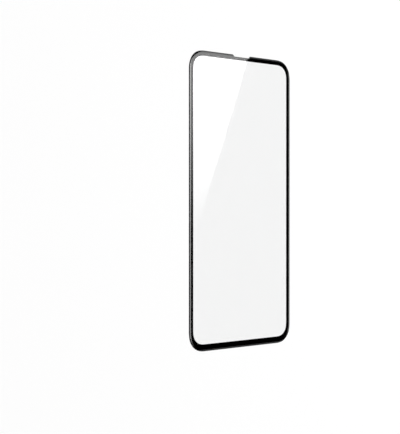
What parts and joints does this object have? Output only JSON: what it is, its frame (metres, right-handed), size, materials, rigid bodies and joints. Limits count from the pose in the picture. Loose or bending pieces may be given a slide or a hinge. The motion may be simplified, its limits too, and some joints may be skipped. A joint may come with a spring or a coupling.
{
  "type": "phone screen protector",
  "caption": "Clear tempered glass sheet with a curved edge, rounded corners, a speaker notch and a black printed border, bonded over a phone's display.",
  "frame": {"origin": "middle of the sheet's flat back, where it bonds to a display", "axes": "+X to the sheet's right side seen from the front, +Y along its height towards the speaker notch, +Z out of its front"},
  "size_m": [0.068, 0.143, 0.0004],
  "materials": {
    "clear_glass": "polished, with a ground rear arris",
    "black_ink": "screen-printed, glossy where it is seen through the glass"
  },
  "bodies": {
    "root": {"glass_pane": "clear_glass", "black_border": "black_ink"}
  },
  "joints": []
}
